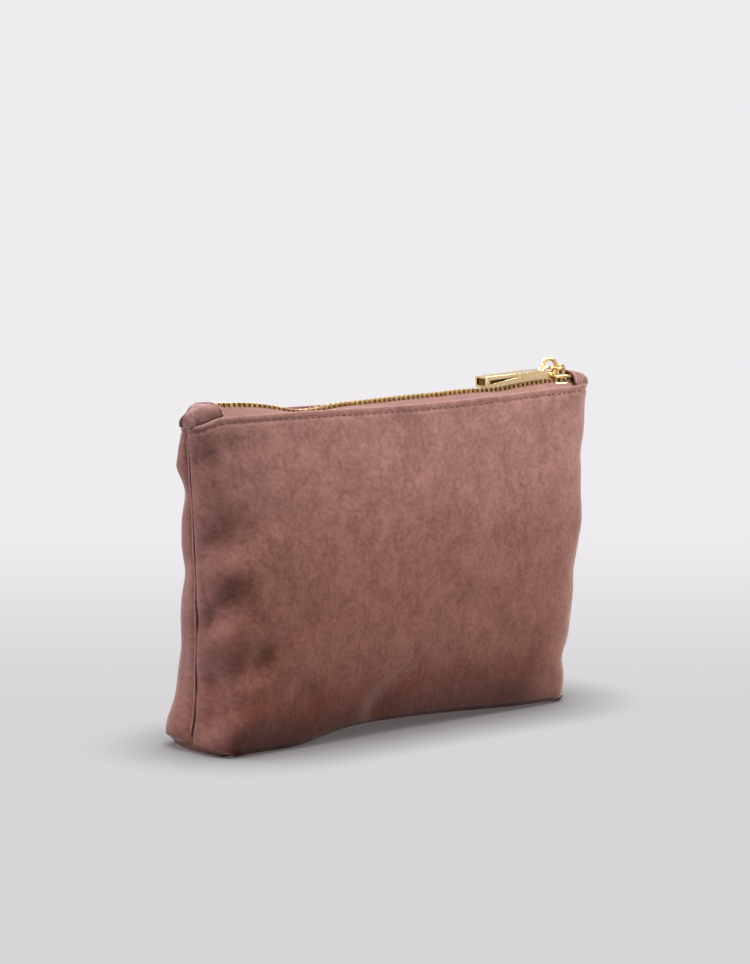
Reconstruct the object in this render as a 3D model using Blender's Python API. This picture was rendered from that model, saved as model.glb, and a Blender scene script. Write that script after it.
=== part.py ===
"""Zip-top makeup bag with boxed bottom corners, as an assembly of separate soft and metal pieces.

Frame: origin on the floor under the middle of the bag, +X along the zip towards its closed end,
-Y towards the front, +Z up. Metres. The bag leans forward a little and its base sits a little to the left
of the mouth, as a lightly filled soft bag does.
"""

import math

import bmesh
import bpy
from mathutils import Matrix

# --- driving dimensions ---------------------------------------------------------------------------
MOUTH_WIDTH = 0.200
BASE_WIDTH = 0.176
BASE_DEPTH = 0.0425
BULGE = 0.0032
LIP_HEIGHT = 0.1270
LIP_DEPTH = 0.0172
ZIP_HEIGHT = 0.1290
MOUTH_Y = -0.0083
BASE_X = -0.0022
BASE_Y = 0.0030

SUEDE_THICK = 0.0014
LINING_THICK = 0.0008
GAP = 0.00035
WALL_FOOT = 0.0062
BASE_RIM = 0.0044
LINING_TOP = 0.1183
SEAM_RADIUS = 0.00055
SEAM_SLOT = 0.00095

TAPE_THICK = 0.0005
TAPE_GAP = 0.0006
TAPE_HEM = 0.1188
TAPE_END = 0.0945
TOOTH_PITCH = 0.0024
TOOTH_LENGTH = 0.00095
TOOTH_REACH = 0.0030
TOOTH_HEAD = 0.0004
TOOTH_HALF_THICK = 0.00125
CORD_HALF_THICK = 0.0007
TEETH_START = -0.0860
TEETH_END = 0.0890
PART_OFFSET = 0.0016

SLIDER_X = 0.0860
SLIDER_LENGTH = 0.0100
PLATE_INNER = 0.0016
PLATE_OUTER = 0.0025
FLANGE_EDGE = 0.0006
CHANNEL_REAR = 0.0033
CHANNEL_NOSE = 0.00495
FLANGE_THICK = 0.0008
BAIL_X = SLIDER_X + 0.0018
BAIL_HALF_LENGTH = 0.0021
BAIL_HALF_WIDTH = 0.0008
BAIL_RISE = 0.0042
BAIL_THICK = 0.0008
LINK_RADIUS = 0.0029
LINK_WIRE = 0.00065
LINK_HEIGHT = 0.0052
EYE_RADIUS = 0.0032
EYE_TUBE = 0.0008
EYE_X = BAIL_X - 2 * LINK_RADIUS - 0.0007
EYE_RISE = 0.00665
EYE_TWIST = math.radians(-14)
BAR_LENGTH = 0.0320
BAR_WIDTH = 0.0068
BAR_HEIGHT = 0.0044
BAR_RING_END_HEIGHT = 0.0022
BAR_CLEARANCE = 0.0016
BAR_WALL = 0.0008
BAR_RECESS = 0.0006

ACROSS = 16
HEIGHTS = (WALL_FOOT, 0.014, 0.026, 0.040, 0.056, 0.072, 0.088, 0.104, 0.117, LIP_HEIGHT)


# --- materials ------------------------------------------------------------------------------------
def material(name, colour, roughness, metallic=0.0):
    made = bpy.data.materials.new(name)
    made.use_nodes = True
    shader = made.node_tree.nodes["Principled BSDF"]
    shader.inputs["Base Color"].default_value = (*colour, 1.0)
    shader.inputs["Roughness"].default_value = roughness
    shader.inputs["Metallic"].default_value = metallic
    return made


# --- the bag's outer form -------------------------------------------------------------------------
def smooth(t):
    t = min(max(t, 0.0), 1.0)
    return t * t * (3 - 2 * t)


def centre(z):
    """The middle of the horizontal section at height z: the bag leans from its base to its mouth."""
    t = min(max(z / LIP_HEIGHT, 0.0), 1.0)
    return BASE_X * (1 - t), BASE_Y + (MOUTH_Y - BASE_Y) * t


def half_width(z):
    t = min(max(z / LIP_HEIGHT, 0.0), 1.0)
    return BASE_WIDTH / 2 + (MOUTH_WIDTH - BASE_WIDTH) / 2 * t**1.1


def half_depth(z):
    t = min(max(z / LIP_HEIGHT, 0.0), 1.0)
    return LIP_DEPTH / 2 + (BASE_DEPTH - LIP_DEPTH) / 2 * (1 - t**1.8) + BULGE * math.sin(math.pi * t)


def squareness(z):
    """Exponent of the section's outline: boxy at the base and at the mouth, pillow-like between."""
    return 9 + 21 * math.exp(-z / 0.018) + 60 * math.exp((z - LIP_HEIGHT) / 0.006)


def section_point(z, u, side, inset=0.0, widen=0.0):
    """A point on the section's outline. u runs -1 to 1 across, side is -1 for the front and 1 for the back."""
    x_mid, y_mid = centre(z)
    x_share = math.sin(u * math.pi / 2)
    bulge = math.sqrt(max(0.0, 1 - abs(x_share) ** squareness(z)))
    x = x_mid + (half_width(z) + widen - inset) * x_share
    y = y_mid + side * max((half_depth(z) + widen - inset) * bulge, SEAM_SLOT)
    return x, y, z


def wall_rows(side, inset, heights):
    across = [2 * i / ACROSS - 1 for i in range(ACROSS + 1)]
    return [[section_point(z, u, side, inset) for u in across] for z in heights]


def section_ring(z, inset=0.0, height=None):
    """The whole outline at height z, front then back, without repeating the seam points."""
    across = [2 * i / ACROSS - 1 for i in range(ACROSS + 1)]
    front = [section_point(z, u, -1, inset) for u in across]
    back = [section_point(z, u, 1, inset) for u in reversed(across)]
    level = z if height is None else height
    return [(x, y, level) for x, y, _ in front + back]


# --- mesh helpers ---------------------------------------------------------------------------------
def finish(name, bm, mat, smooth_angle=math.radians(40)):
    bmesh.ops.recalc_face_normals(bm, faces=bm.faces)
    mesh = bpy.data.meshes.new(name)
    bm.to_mesh(mesh)
    bm.free()
    mesh.shade_smooth()
    mesh.set_sharp_from_angle(angle=smooth_angle)
    made = bpy.data.objects.new(name, mesh)
    made.data.materials.append(mat)
    bpy.context.scene.collection.objects.link(made)
    return made


def shell(name, outer, inner, mat):
    """A closed sheet between two grids of points that match row by row."""
    bm = bmesh.new()
    grids = [[[bm.verts.new(p) for p in row] for row in rows] for rows in (outer, inner)]
    last_row, last_col = len(outer) - 1, len(outer[0]) - 1
    for grid in grids:
        for r in range(last_row):
            for c in range(last_col):
                bm.faces.new((grid[r][c], grid[r][c + 1], grid[r + 1][c + 1], grid[r + 1][c]))
    rim = [(0, c) for c in range(last_col)] + [(r, last_col) for r in range(last_row)]
    rim += [(last_row, c) for c in range(last_col, 0, -1)] + [(r, 0) for r in range(last_row, 0, -1)]
    for (r0, c0), (r1, c1) in zip(rim, rim[1:] + rim[:1]):
        bm.faces.new((grids[0][r0][c0], grids[0][r1][c1], grids[1][r1][c1], grids[1][r0][c0]))
    return finish(name, bm, mat)


def loft(name, rings, mat, smooth_angle=math.radians(40)):
    """A closed solid through rings of equally many points, with a cap on each end."""
    bm = bmesh.new()
    loops = [[bm.verts.new(p) for p in ring] for ring in rings]
    count = len(rings[0])
    for low, high in zip(loops, loops[1:]):
        for i in range(count):
            j = (i + 1) % count
            bm.faces.new((low[i], low[j], high[j], high[i]))
    bm.faces.new(loops[0])
    bm.faces.new(loops[-1])
    return finish(name, bm, mat, smooth_angle)


def tube(name, points, radius, mat):
    """A round seam cord through points, with filled ends."""
    data = bpy.data.curves.new(name, "CURVE")
    data.dimensions = "3D"
    data.bevel_depth = radius
    data.bevel_resolution = 1
    data.use_fill_caps = True
    spline = data.splines.new("POLY")
    spline.points.add(len(points) - 1)
    for slot, point in zip(spline.points, points):
        slot.co = (*point, 1.0)
    data.materials.append(mat)
    made = bpy.data.objects.new(name, data)
    bpy.context.scene.collection.objects.link(made)
    return made


def ring_mesh(bm, centre_at, radius, wire, axis, around=24, sides=10):
    """Adds a torus to bm. axis is "Y" for a ring standing along the zip, or "Z" for one lying flat."""
    loops = []
    for i in range(around):
        turn = 2 * math.pi * i / around
        loop = []
        for j in range(sides):
            roll = 2 * math.pi * j / sides
            out = radius + wire * math.cos(roll)
            a, b, c = out * math.cos(turn), out * math.sin(turn), wire * math.sin(roll)
            offset = (a, c, b) if axis == "Y" else (a, b, c)
            loop.append(bm.verts.new([centre_at[k] + offset[k] for k in range(3)]))
        loops.append(loop)
    for i in range(around):
        low, high = loops[i], loops[(i + 1) % around]
        for j in range(sides):
            k = (j + 1) % sides
            bm.faces.new((low[j], low[k], high[k], high[j]))


def prism(outline, low, high):
    """The two rings of a solid whose plan is outline, between two heights."""
    return [[(x, y, z) for x, y in outline] for z in (low, high)]


def hide_tool(made):
    made.hide_render = True
    made.display_type = "WIRE"


def join(target, tool, operation="UNION"):
    modifier = target.modifiers.new(tool.name, "BOOLEAN")
    modifier.operation = operation
    modifier.object = tool
    modifier.solver = "EXACT"
    hide_tool(tool)


# --- soft pieces ----------------------------------------------------------------------------------
def wall(name, side, inset, thick, heights, mat):
    return shell(name, wall_rows(side, inset, heights), wall_rows(side, inset + thick, heights), mat)


def tray(name, inset, thick, mat):
    """The bottom, turned up all round its rim as far as the walls' feet."""
    floor = inset
    profile = [(0.0050, 0.0), (0.0024, 0.0004), (0.0007, 0.0016), (0.0, BASE_RIM)]
    outer = [section_ring(BASE_RIM, inset + back, floor + up) for back, up in profile[:-1]]
    outer.append(section_ring(BASE_RIM, inset, BASE_RIM))
    inner = [section_ring(BASE_RIM, inset + thick + back, floor + thick + up) for back, up in profile[:-1]]
    inner.append(section_ring(BASE_RIM, inset + thick, BASE_RIM))
    return loft(name, inner + outer[::-1], mat)


def side_seam(name, end, mat):
    heights = [WALL_FOOT + 0.0004 + i * (LIP_HEIGHT - 0.0004 - WALL_FOOT) / 14 for i in range(15)]
    points = []
    for z in heights:
        x_mid, y_mid = centre(z)
        points.append((x_mid + end * (half_width(z) - SEAM_RADIUS), y_mid, z))
    return tube(name, points, SEAM_RADIUS, mat)


def corner_seam(name, end, mat):
    """The seam across a boxed corner, in the slot between the base's rim and the walls' feet."""
    level = (BASE_RIM + WALL_FOOT) / 2
    shares = [0.86 + 0.02 * i for i in range(8)]
    front = [section_point(level, end * u, -1, SEAM_RADIUS) for u in shares]
    back = [section_point(level, end * u, 1, SEAM_RADIUS) for u in reversed(shares)]
    return tube(name, front + back, SEAM_RADIUS, mat)


def end_tab(name, start, stop, mat):
    """A folded strip of suede that covers the end of the zip tape."""
    x_low, x_high = sorted((start, stop))
    low = ZIP_HEIGHT + TAPE_THICK / 2 + GAP
    half = 0.0060
    profile = [(-half, low), (half, low), (half, low + 0.0005), (half - 0.0006, low + 0.0009)]
    profile += [(-(half - 0.0006), low + 0.0009), (-half, low + 0.0005)]
    rings = [[(x, MOUTH_Y + y, z) for y, z in profile] for x in (x_low, x_high)]
    return loft(name, rings, mat)


# --- zip ------------------------------------------------------------------------------------------
def parting(x):
    """How far a tooth row stands off the middle line: the rows part inside the slider."""
    return PART_OFFSET * smooth((x - (SLIDER_X - 0.0040)) / 0.0070)


def wall_y(x, z, side, inset):
    """Y of a wall's surface at x and z, read off the same facets the wall is built from."""
    level = next(i for i in range(len(HEIGHTS) - 1) if z <= HEIGHTS[i + 1])
    found = []
    for row in wall_rows(side, inset, HEIGHTS[level:level + 2]):
        k = next(i for i in range(ACROSS) if x <= row[i + 1][0])
        (x_low, y_low, _), (x_high, y_high, _) = row[k], row[k + 1]
        found.append(y_low + (y_high - y_low) * (x - x_low) / (x_high - x_low))
    share = (z - HEIGHTS[level]) / (HEIGHTS[level + 1] - HEIGHTS[level])
    return found[0] * (1 - share) + found[1] * share


def tape(name, side, mat):
    """Half of the zip's tape: flat beside the teeth, then folded down inside the wall as far as its hem."""
    stations = [-TAPE_END, -0.0925, -0.089, -0.075, -0.05, -0.025, 0.0, 0.025, 0.05, 0.075]
    stations += [SLIDER_X - 0.004 + 0.001 * i for i in range(8)]
    stations += [0.0925, TAPE_END]
    face = SUEDE_THICK + TAPE_GAP
    outer, inner = [], []
    for x in stations:
        edge = MOUTH_Y + side * (TOOTH_REACH + GAP + parting(x))
        lip = wall_y(x, LIP_HEIGHT, side, face)
        upper = [(edge, ZIP_HEIGHT + TAPE_THICK / 2), (lip - side * 0.0004, ZIP_HEIGHT + TAPE_THICK / 2)]
        lower = [(edge, ZIP_HEIGHT - TAPE_THICK / 2), (lip - side * 0.0009, ZIP_HEIGHT - TAPE_THICK / 2)]
        for z in (LIP_HEIGHT, 0.123, TAPE_HEM):
            y = wall_y(x, z, side, face)
            upper.append((y, z))
            lower.append((y - side * TAPE_THICK, z))
        outer.append([(x, y, z) for y, z in upper])
        inner.append([(x, y, z) for y, z in lower])
    return shell(name, outer, inner, mat)


def teeth_row(name, side, mat):
    """Metal teeth on the tape's corded edge. The back row stands half a pitch along from the front one."""
    start = TEETH_START + (TOOTH_PITCH / 2 if side > 0 else 0.0)
    count = int((TEETH_END - start) / TOOTH_PITCH)

    def ring(x, inner, outer, half_thick):
        off = parting(x)
        y_in, y_out = MOUTH_Y + side * (off - inner), MOUTH_Y + side * (off + outer)
        low, high = ZIP_HEIGHT - half_thick, ZIP_HEIGHT + half_thick
        return [(x, y_in, low), (x, y_out, low), (x, y_out, high), (x, y_in, high)]

    rings = []
    for i in range(count):
        for x in (start + i * TOOTH_PITCH, start + i * TOOTH_PITCH + TOOTH_LENGTH):
            tooth = ring(x, TOOTH_HEAD, TOOTH_REACH, TOOTH_HALF_THICK)
            cord = ring(x, -(TOOTH_REACH - 0.0012), TOOTH_REACH - 0.0002, CORD_HALF_THICK)
            opening = x == start + i * TOOTH_PITCH
            rings += [cord, tooth] if opening else [tooth, cord]
    return loft(name, rings[1:-1], mat, math.radians(20))


def stop_block(name, x_low, x_high, y_low, y_high, mat):
    """A crimped end stop: a small block with softened edges."""
    half = TOOTH_HALF_THICK - 0.0001
    edge = 0.0003
    profile = [
        (y_low, -half + edge), (y_low + edge, -half), (y_high - edge, -half), (y_high, -half + edge),
        (y_high, half - edge), (y_high - edge, half), (y_low + edge, half), (y_low, half - edge),
    ]
    rings = [[(x, MOUTH_Y + y, ZIP_HEIGHT + z) for y, z in profile] for x in (x_low, x_high)]
    return loft(name, rings, mat)


def slider_outline(widen=0.0):
    """Plan of the slider: narrow where the closed chain leaves, wide where the two rows enter."""
    rear, nose = SLIDER_X - SLIDER_LENGTH / 2, SLIDER_X + SLIDER_LENGTH / 2
    half = [
        (rear, CHANNEL_REAR - 0.0006), (rear + 0.0006, CHANNEL_REAR), (SLIDER_X - 0.002, CHANNEL_REAR),
        (SLIDER_X + 0.002, CHANNEL_NOSE), (nose - 0.0012, CHANNEL_NOSE), (nose, CHANNEL_NOSE - 0.0014),
    ]
    near = [(x, MOUTH_Y - (y + FLANGE_THICK + widen)) for x, y in half]
    far = [(x, MOUTH_Y + (y + FLANGE_THICK + widen)) for x, y in reversed(half)]
    return near + far


def slider_body(mat):
    """Two plates held apart by the wedge that parts the rows, with flanges that leave a slot for each tape."""
    plates = {}
    for label, sign in (("upper", 1), ("lower", -1)):
        low, high = sorted((ZIP_HEIGHT + sign * FLANGE_EDGE, ZIP_HEIGHT + sign * PLATE_OUTER))
        plates[label] = loft(f"slider_{label}_plate", prism(slider_outline(), low, high), mat)
    channel_low, channel_high = ZIP_HEIGHT - PLATE_INNER, ZIP_HEIGHT + PLATE_INNER
    rear, nose = SLIDER_X - 0.010, SLIDER_X + 0.010
    half = [
        (rear, CHANNEL_REAR), (SLIDER_X - 0.002, CHANNEL_REAR),
        (SLIDER_X + 0.002, CHANNEL_NOSE), (nose, CHANNEL_NOSE),
    ]
    plan = [(x, MOUTH_Y - y) for x, y in half] + [(x, MOUTH_Y + y) for x, y in reversed(half)]
    channel = loft("slider_channel_cutter", prism(plan, channel_low, channel_high), mat)
    wedge_plan = [
        (SLIDER_X + 0.0022, MOUTH_Y), (SLIDER_X + 0.0034, MOUTH_Y - 0.00085),
        (SLIDER_X + 0.0046, MOUTH_Y - 0.00085), (SLIDER_X + 0.0046, MOUTH_Y + 0.00085),
        (SLIDER_X + 0.0034, MOUTH_Y + 0.00085),
    ]
    wedge_low, wedge_high = ZIP_HEIGHT - PLATE_OUTER + 0.0004, ZIP_HEIGHT + PLATE_OUTER - 0.0004
    wedge = loft("slider_wedge", prism(wedge_plan, wedge_low, wedge_high), mat)
    body = plates["upper"]
    body.name = "slider_body"
    join(plates["lower"], channel, "DIFFERENCE")
    join(body, channel, "DIFFERENCE")
    join(body, wedge)
    join(body, plates["lower"])
    return body


def slider_bail(mat):
    """The bridge on the slider that the link hangs from."""
    foot = ZIP_HEIGHT + PLATE_OUTER + GAP
    arc = []
    for share in (1.0, 1 - BAIL_THICK / BAIL_HALF_LENGTH):
        rise = BAIL_RISE if share == 1.0 else BAIL_RISE - BAIL_THICK
        turn = [math.pi * i / 10 for i in range(11)]
        arc.append([(math.cos(a) * BAIL_HALF_LENGTH * share, math.sin(a) ** 0.6 * rise) for a in turn])
    outline = arc[0] + arc[1][::-1]
    rings = []
    for y in (-BAIL_HALF_WIDTH, BAIL_HALF_WIDTH):
        rings.append([(BAIL_X + x, MOUTH_Y + y, foot + z) for x, z in outline])
    return loft("slider_bail", rings, mat)


def pull_link_ring(mat):
    bm = bmesh.new()
    at = (BAIL_X - LINK_RADIUS, MOUTH_Y, ZIP_HEIGHT + LINK_HEIGHT)
    ring_mesh(bm, at, LINK_RADIUS, LINK_WIRE, "Z", around=28, sides=10)
    return finish("pull_link_ring", bm, mat)


def bar_profile(x, share, low, high):
    """The bar's bevelled outline at x, drawn in by share."""
    chamfer = 0.0004
    half = BAR_WIDTH / 2
    mid_z = (low + high) / 2
    profile = [
        (-half + chamfer, low), (half - chamfer, low), (half, low + chamfer), (half, high - chamfer),
        (half - chamfer, high), (-half + chamfer, high), (-half, high - chamfer), (-half, low + chamfer),
    ]
    return [(x, MOUTH_Y + y * share, mid_z + (z - mid_z) * share) for y, z in profile]


def pull_bar(mat):
    """A bar that thins towards its ring end, with a shallow slot sunk into each side and an upright eye."""
    right = EYE_X - EYE_RADIUS + 0.0004
    left = right - BAR_LENGTH
    high = ZIP_HEIGHT + BAR_CLEARANCE + BAR_HEIGHT
    low_left, low_right = high - BAR_HEIGHT, high - BAR_RING_END_HEIGHT
    rings = [
        bar_profile(left, 0.86, low_left, high),
        bar_profile(left + 0.0004, 1.0, low_left, high),
        bar_profile(right - 0.0004, 1.0, low_right, high),
        bar_profile(right, 0.8, low_right, high),
    ]
    bar = loft("pull_bar", rings, mat)
    slot = [
        (left + 0.0014, high - BAR_WALL), (left + 0.0014, low_left + BAR_WALL),
        (left + 0.62 * BAR_LENGTH, high - BAR_WALL - 0.0007), (left + 0.62 * BAR_LENGTH, high - BAR_WALL),
    ]
    for number, side in enumerate((-1, 1)):
        depths = (side * (BAR_WIDTH / 2 + 0.001), side * (BAR_WIDTH / 2 - BAR_RECESS))
        sides = [[(x, MOUTH_Y + y, z) for x, z in slot] for y in depths]
        join(bar, loft(f"slot_cutter_{number}", sides, mat), "DIFFERENCE")
    bm = bmesh.new()
    middle = (EYE_X, MOUTH_Y, ZIP_HEIGHT + EYE_RISE)
    ring_mesh(bm, middle, EYE_RADIUS, EYE_TUBE, "Y", around=28, sides=10)
    bmesh.ops.rotate(bm, verts=bm.verts[:], cent=middle, matrix=Matrix.Rotation(EYE_TWIST, 3, "Z"))
    eye = finish("pull_eye", bm, mat)
    join(bar, eye)
    return bar


# --- assembly -------------------------------------------------------------------------------------
def main():
    for old in list(bpy.data.objects):
        bpy.data.objects.remove(old, do_unlink=True)
    suede = material("suede", (0.30, 0.155, 0.13), 0.95)
    lining = material("lining", (0.33, 0.22, 0.20), 0.85)
    webbing = material("zip_tape", (0.32, 0.19, 0.165), 0.9)
    brass = material("brass", (0.62, 0.44, 0.17), 0.35, 1.0)
    gold = material("gold", (0.86, 0.66, 0.34), 0.18, 1.0)

    lining_heights = HEIGHTS[:-1] + (LINING_TOP,)
    lining_inset = SUEDE_THICK + GAP
    for label, side in (("front", -1), ("back", 1)):
        wall(f"{label}_panel", side, 0.0, SUEDE_THICK, HEIGHTS, suede)
        wall(f"lining_{label}", side, lining_inset, LINING_THICK, lining_heights, lining)
        tape(f"zipper_tape_{label}", side, webbing)
        teeth_row(f"teeth_row_{label}", side, brass)
        inner, outer = PART_OFFSET - TOOTH_HEAD, PART_OFFSET + TOOTH_REACH
        y_low, y_high = sorted((side * inner, side * outer))
        stop_block(f"top_stop_{label}", 0.0913, 0.0923, y_low, y_high, gold)
    tray("base_panel", 0.0, SUEDE_THICK, suede)
    tray("lining_base", lining_inset, LINING_THICK, lining)
    stop_block("bottom_stop", -0.0885, -0.0866, -TOOTH_REACH, TOOTH_REACH, gold)
    for label, end in (("left", -1), ("right", 1)):
        side_seam(f"side_seam_{label}", end, suede)
        corner_seam(f"corner_seam_{label}", end, suede)
    end_tab("zip_end_tab_left", -0.0996, -0.0889, suede)
    end_tab("zip_end_tab_right", 0.0927, 0.0996, suede)
    slider_body(gold)
    slider_bail(gold)
    pull_link_ring(gold)
    pull_bar(gold)


main()
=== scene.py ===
"""Looks of the zip-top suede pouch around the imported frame: soft sewn walls, zip, lining, hardware."""

import math

import bmesh
import bpy
from mathutils import Matrix, Vector, noise


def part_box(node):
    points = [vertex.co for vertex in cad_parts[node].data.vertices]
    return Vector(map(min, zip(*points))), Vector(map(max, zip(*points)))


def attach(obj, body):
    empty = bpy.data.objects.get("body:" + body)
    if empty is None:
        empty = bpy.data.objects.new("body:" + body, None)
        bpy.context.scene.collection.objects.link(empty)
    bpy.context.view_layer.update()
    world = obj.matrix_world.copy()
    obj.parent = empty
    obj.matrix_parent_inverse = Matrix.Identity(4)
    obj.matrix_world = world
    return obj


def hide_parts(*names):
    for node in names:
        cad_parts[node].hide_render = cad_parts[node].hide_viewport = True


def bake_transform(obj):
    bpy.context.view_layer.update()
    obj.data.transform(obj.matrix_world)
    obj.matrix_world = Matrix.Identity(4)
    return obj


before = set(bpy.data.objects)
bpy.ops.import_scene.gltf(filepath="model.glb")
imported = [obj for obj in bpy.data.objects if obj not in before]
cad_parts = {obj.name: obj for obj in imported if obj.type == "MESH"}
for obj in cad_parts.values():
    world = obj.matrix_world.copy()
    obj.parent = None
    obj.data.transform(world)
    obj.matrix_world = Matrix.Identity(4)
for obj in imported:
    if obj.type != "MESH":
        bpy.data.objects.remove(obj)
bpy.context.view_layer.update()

# --- sizes read from the frame ---
PANEL_LOW, PANEL_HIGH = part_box("front_panel")
BASE_LOW, BASE_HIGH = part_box("base_panel")
ROW_LOW, ROW_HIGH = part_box("teeth_row_front")
BACK_ROW_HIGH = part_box("teeth_row_back")[1]
SLIDER_LOW, SLIDER_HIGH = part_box("slider_body")
BAR_LOW, BAR_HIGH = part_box("pull_bar")
LINK_LOW, LINK_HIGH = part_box("pull_link_ring")
BAIL_LOW, BAIL_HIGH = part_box("slider_bail")

LIP_Z = PANEL_HIGH[2]
MOUTH_HALF = (PANEL_HIGH[0] - PANEL_LOW[0]) / 2
MOUTH_Y = (ROW_LOW[1] + BACK_ROW_HIGH[1]) / 2
ZIP_Z = (ROW_LOW[2] + ROW_HIGH[2]) / 2
BASE_X = (BASE_LOW[0] + BASE_HIGH[0]) / 2
BASE_Y = (BASE_LOW[1] + BASE_HIGH[1]) / 2
BASE_HALF = (BASE_HIGH[0] - BASE_LOW[0]) / 2
BOTTOM_SHY = 0.0003
BASE_HALF_DEPTH = (BASE_HIGH[1] - BASE_LOW[1]) / 2 - BOTTOM_SHY
SLIDER_X = (SLIDER_LOW[0] + SLIDER_HIGH[0]) / 2

# --- soft form, in metres ---
LIP_HALF_DEPTH = 0.0086
BULGE = 0.0034
SWAY = 0.0023
SUEDE_THICK = 0.0010
LIP_RADIUS = 0.0008
HEM_DEPTH = 0.0075
FOOT_RADIUS = 0.0046
CORNER_FOOT_RADIUS = 0.0022
FOOT_RUN = 0.0060
CORNER_FLARE = 0.0007
LINING_INSET = 0.0026
LINING_TOP = 0.1185
LINING_THICK = 0.0004
ARCH_HEIGHT = 0.0047
ARCH_REACH = 0.024
MOUTH_SAG = 0.0019
LEFT_DROOP = 0.0036
STITCH_DROP = 0.0016
COLUMNS = 152
FOOT_ROWS = 11
WALL_ROWS = 84
HEM_ROWS = 8
WALL_TOP = FOOT_ROWS + WALL_ROWS
ROWS_CROWD_UP = 0.72
ACROSS = [2 * i / COLUMNS - 1 for i in range(COLUMNS + 1)]
WALLS = (("front", -1), ("back", 1))
ENDS = (("left", -1), ("right", 1))

# Soft dents in the walls, in millimetres: start and end as (distance along the cloth from the left seam,
# height), then half width and depth. A negative depth is a puff between two dents.
MM = 0.001
FRONT_DENTS = (
    ((6, 112), (17, 113.5), 4.5, 1.4),
    ((12, 81), (34, 89.5), 7.8, 3.5),
    ((22, 116.5), (35, 117.5), 4.2, 1.1),
    ((4, 51), (16, 60), 4.6, 4),
    ((16, 60), (30, 70), 7, 0.7),
    ((5, 26.5), (26, 35), 5.6, 4.6),
    ((26, 35), (44, 48), 5.6, 2.2),
    ((4, 13), (9, 19), 5, 3.6),
    ((12, 19), (44, 25), 5.5, 1.6),
    ((10, 70), (22, 72.5), 5.5, -1.4),
    ((8, 44), (18, 47.5), 4.8, -1.6),
    ((14, 11.5), (26, 13.5), 5.6, -1.6),
    ((86, 8), (104, 23), 6.5, 1.6),
    ((50, 20), (57, 28), 8.5, 1.3),
    ((150, 96), (172, 99), 9, 0.8),
)
BACK_DENTS = (
    ((2, 98.5), (18, 96.5), 6, 1.2),
    ((6, 111.5), (6, 121.5), 7.4, -2.6),
    ((3, 70), (26, 62), 6.5, 1.6),
    ((2, 37), (24, 42), 8, 1.1),
    ((8, 8), (24, 8), 8, -1.8),
    ((193, 56), (214, 50), 6.5, 2),
    ((190, 90), (214, 96), 6.5, 1.8),
    ((85, 6), (100, 20), 8, 1.4),
)
FRONT_RIGHT_DENTS = (
    ((196, 18), (214, 15), 5, 1.4),
    ((192, 100), (214, 100), 6, 1),
    ((196, 74), (214, 74), 9, -1.3),
    ((194, 53), (214, 51), 6.5, 0.8),
)


def smooth(t):
    t = min(max(t, 0.0), 1.0)
    return t * t * (3 - 2 * t)


def bump(x, middle, spread):
    return math.exp(-(((x - middle) / spread) ** 2))


def centre(z):
    t = min(max(z / LIP_Z, 0.0), 1.0)
    return BASE_X * (1 - t) + SWAY * math.sin(math.pi * t), BASE_Y + (MOUTH_Y - BASE_Y) * t


def half_width(z):
    t = min(max(z / LIP_Z, 0.0), 1.0)
    return BASE_HALF + (MOUTH_HALF - BASE_HALF) * t**1.1 + CORNER_FLARE * bump(z, 0.0075, 0.0085)


def half_depth(z):
    t = min(max(z / LIP_Z, 0.0), 1.0)
    body = LIP_HALF_DEPTH + (BASE_HALF_DEPTH - LIP_HALF_DEPTH) * (1 - t**1.8)
    return body + BULGE * math.sin(math.pi * t)


def squareness(z):
    return 9 + 21 * math.exp(-z / 0.018) + 9 * math.exp((z - LIP_Z) / 0.008)


def arch(x):
    """The bottom edge lifts off the floor between its corners, steeply on the left, gently on the right."""
    rise = smooth((x + 0.060) / 0.034)
    fall = 1 - smooth((x + 0.030) / 0.122)
    return ARCH_HEIGHT * rise * fall


def settle(point):
    """Moves a point of the sewn body as the soft bag rests: the arch below and the slack mouth above."""
    x, y, z = point
    sag = MOUTH_SAG * bump(x, 0.015, 0.060) * smooth((z - 0.085) / 0.040)
    droop = LEFT_DROOP * smooth((-x - 0.088) / 0.013) * smooth((z - 0.100) / 0.025)
    return Vector((x, y, z + arch(x) * math.exp(-max(z, 0) / ARCH_REACH) - sag - droop))


def section(z, u, side, inset=0.0):
    """A point on the bag's outline at height z. u runs -1 to 1 from seam to seam, side is -1 in front."""
    x_mid, y_mid = centre(z)
    share = math.sin(u * math.pi / 2)
    bulge = math.sqrt(max(0.0, 1 - abs(share) ** squareness(z)))
    x = x_mid + (half_width(z) - inset) * share
    return Vector((x, y_mid + side * (half_depth(z) - inset) * bulge, z))


def foot_point(q, u, side, inset=0.0):
    """A point on the curl from the underside (q 0) to the foot of the wall (q 1)."""
    share = abs(math.sin(u * math.pi / 2))
    radius = FOOT_RADIUS + (CORNER_FOOT_RADIUS - FOOT_RADIUS) * smooth((share - 0.86) / 0.10)
    arc = radius * math.pi / 2
    along = q * (FOOT_RUN + arc)
    if along < FOOT_RUN:
        back, up = radius + FOOT_RUN - along, 0.0
    else:
        turn = (along - FOOT_RUN) / radius
        back, up = radius * (1 - math.sin(turn)), radius * (1 - math.cos(turn))
    point = section(FOOT_RADIUS, u, side, inset + back)
    point.z = up * FOOT_RADIUS / radius + inset
    return point


def dent(along, z, dents):
    """How far the dents push the cloth in at one point."""
    total = 0.0
    for (a0, z0), (a1, z1), width, depth in dents:
        a0, z0, a1, z1, width, depth = (MM * value for value in (a0, z0, a1, z1, width, depth))
        da, dz = a1 - a0, z1 - z0
        t = min(max(((along - a0) * da + (z - z0) * dz) / (da * da + dz * dz), 0.0), 1.0)
        gap = math.hypot(along - a0 - t * da, z - z0 - t * dz)
        total += depth * math.exp(-((gap / width) ** 2)) * (1 - 0.45 * t)
    return total


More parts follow.
